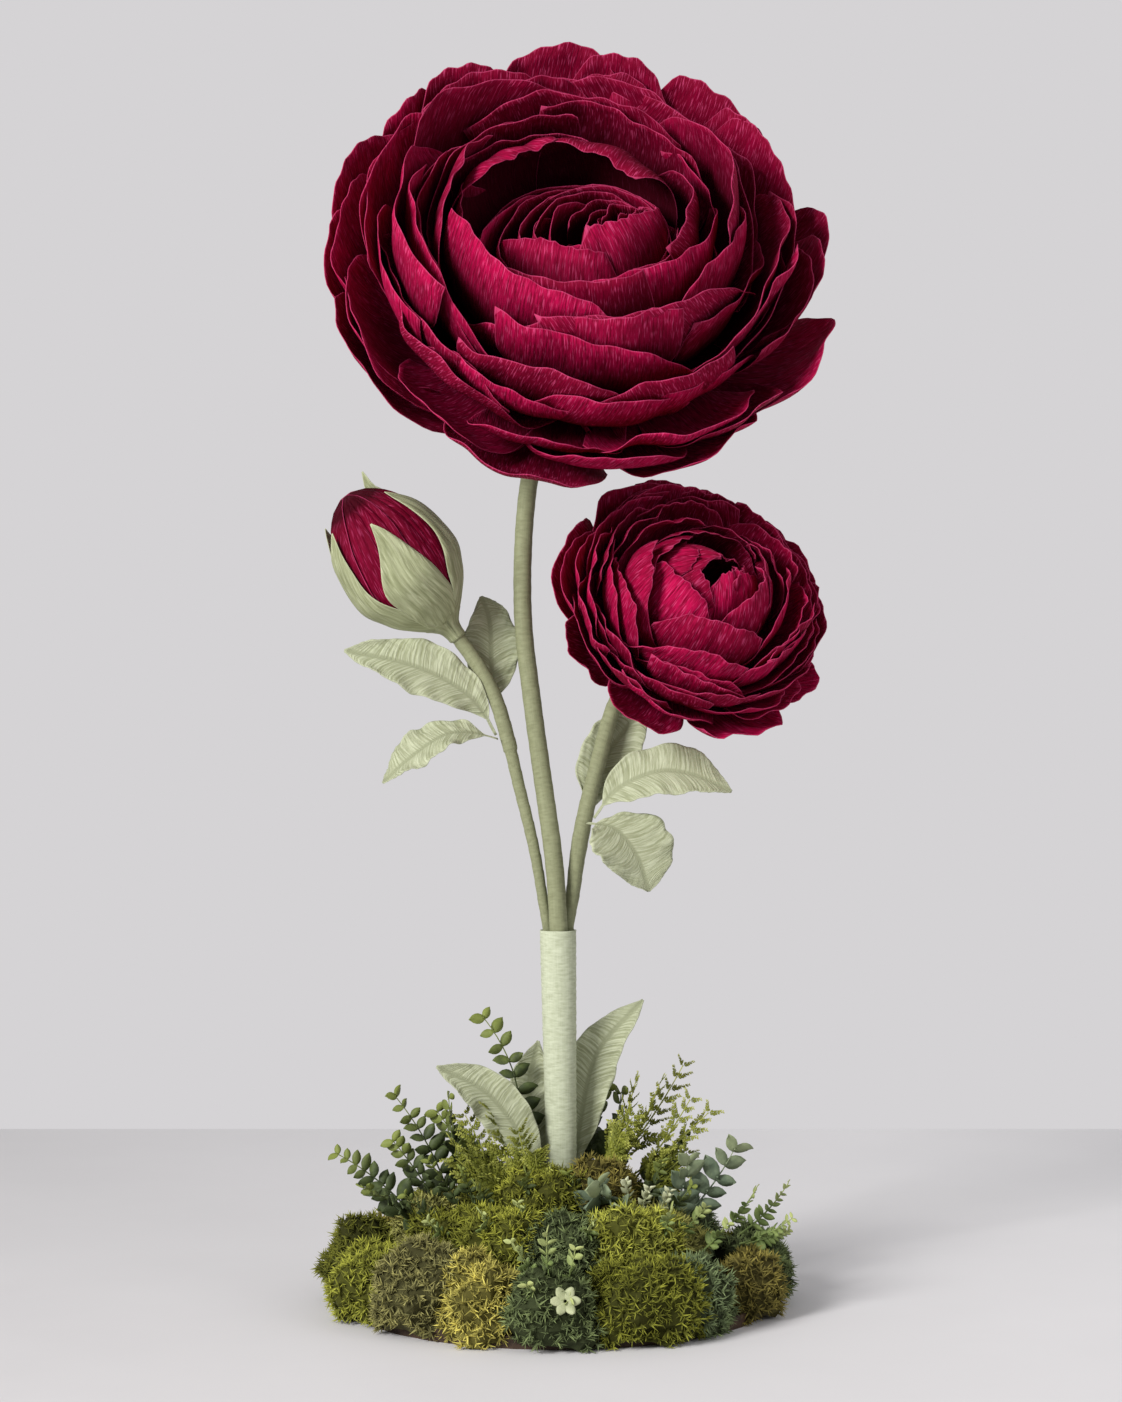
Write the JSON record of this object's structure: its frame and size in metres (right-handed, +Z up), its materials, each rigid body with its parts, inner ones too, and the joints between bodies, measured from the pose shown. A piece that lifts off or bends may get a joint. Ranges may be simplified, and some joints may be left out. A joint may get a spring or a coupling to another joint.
{
  "type": "crepe paper peony stand",
  "caption": "Free-standing giant crepe paper peony with an open bloom, a smaller bloom, a bud and leaves on wrapped stems, planted in a round base of moss and greenery.",
  "frame": {"origin": "centre of the base board's underside", "axes": "+Z up through the trunk, the blooms face -Y, +X to the flower's right as seen from the front"},
  "size_m": [0.5011, 0.456, 1.2638],
  "materials": {
    "crimson_crepe": "crinkled matte crepe paper in deep crimson, paler along the cut edges",
    "sage_crepe": "crinkled matte crepe paper in pale sage green",
    "wrapped_stem": "smooth stretched crepe wrap in sage green over a rod",
    "moss": "dry preserved moss, branched and matte, in gold, olive and blue green",
    "sprig_leaf": "preserved foliage, satin green leaves",
    "foam": "green dry floral foam",
    "stained_board": "dark stained board",
    "flange_steel": "plain steel"
  },
  "bodies": {
    "root": {"main_petals_1": "crimson_crepe", "main_petals_2": "crimson_crepe", "main_petals_3": "crimson_crepe", "main_petals_4": "crimson_crepe", "main_petals_5": "crimson_crepe", "main_petals_6": "crimson_crepe", "main_petals_7": "crimson_crepe", "main_petals_8": "crimson_crepe", "main_petals_9": "crimson_crepe", "main_petals_10": "crimson_crepe", "second_petals_1": "crimson_crepe", "second_petals_2": "crimson_crepe", "second_petals_3": "crimson_crepe", "second_petals_4": "crimson_crepe", "second_petals_5": "crimson_crepe", "second_petals_6": "crimson_crepe", "second_petals_7": "crimson_crepe", "second_petals_8": "crimson_crepe", "bud_petals": "crimson_crepe", "main_calyx": "sage_crepe", "second_calyx": "sage_crepe", "bud_sepal_1": "sage_crepe", "bud_sepal_2": "sage_crepe", "bud_sepal_3": "sage_crepe", "bud_sepal_4": "sage_crepe", "bud_sepal_5": "sage_crepe", "leaf_bud_left": "sage_crepe", "leaf_bud_drooping": "sage_crepe", "leaf_bud_behind": "sage_crepe", "leaf_second_behind": "sage_crepe", "leaf_second_right": "sage_crepe", "leaf_second_folded": "sage_crepe", "leaf_trunk_left": "sage_crepe", "leaf_trunk_right": "sage_crepe", "leaf_trunk_behind": "sage_crepe", "trunk_wrap": "sage_crepe", "main_stem": "wrapped_stem", "second_stem": "wrapped_stem", "bud_stem": "wrapped_stem", "moss_outer": "moss", "moss_middle": "moss", "moss_top": "moss", "sprig_tall_left": "sprig_leaf", "sprig_back_left": "sprig_leaf", "sprig_low_left": "sprig_leaf", "sprig_fern_right": "sprig_leaf", "sprig_low_right": "sprig_leaf", "sprig_edge_right": "sprig_leaf", "foam_lower": "foam", "foam_upper": "foam", "base_board": "stained_board", "floor_flange": "flange_steel"}
  },
  "joints": []
}
